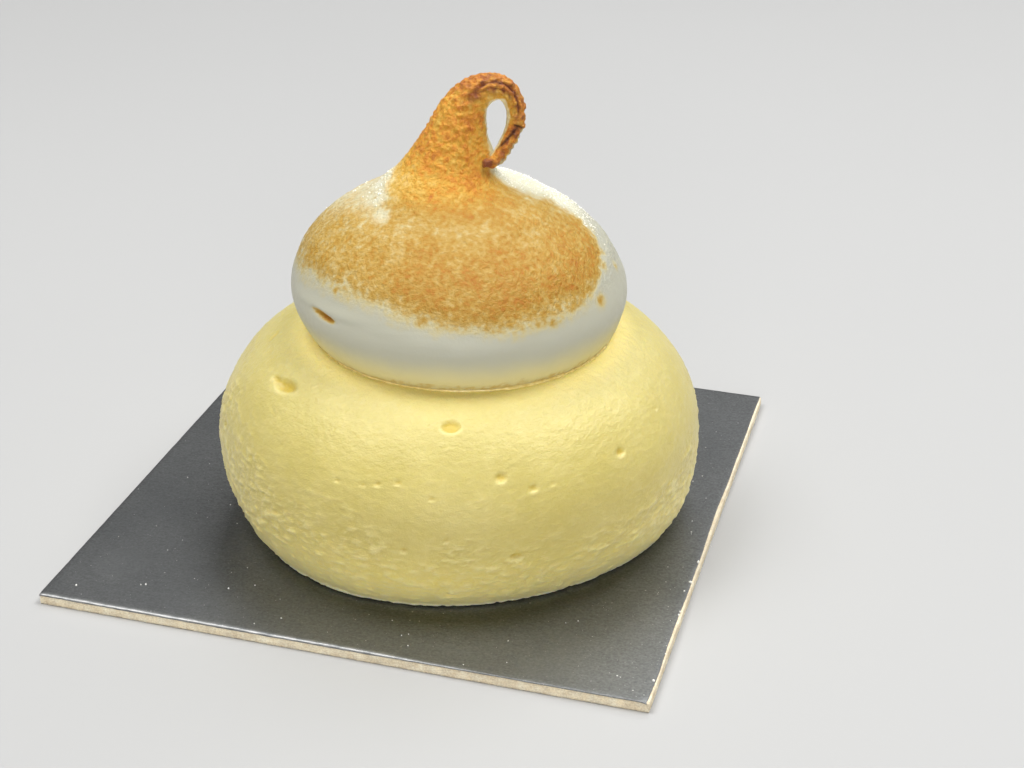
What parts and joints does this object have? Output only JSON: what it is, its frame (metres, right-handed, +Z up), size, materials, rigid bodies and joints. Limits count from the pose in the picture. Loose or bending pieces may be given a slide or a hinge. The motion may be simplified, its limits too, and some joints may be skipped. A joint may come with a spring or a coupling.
{
  "type": "lemon meringue cake",
  "caption": "Single lemon mousse cake, a soft round cushion with a pit-marked side, topped with a toasted meringue dollop whose peak curls over, on a square silver card.",
  "frame": {"origin": "middle of the card's underside, on the surface that the cake stands on", "axes": "+Z up; X and Y along the card's edges; the meringue's peak curls over towards +X"},
  "size_m": [0.08, 0.08, 0.0629],
  "materials": {
    "lemon_mousse": "satin",
    "toasted_meringue": "matte",
    "silver_card": "satin silver film"
  },
  "bodies": {
    "root": {"cake_body": "lemon_mousse", "meringue": "toasted_meringue", "card": "silver_card"}
  },
  "joints": []
}
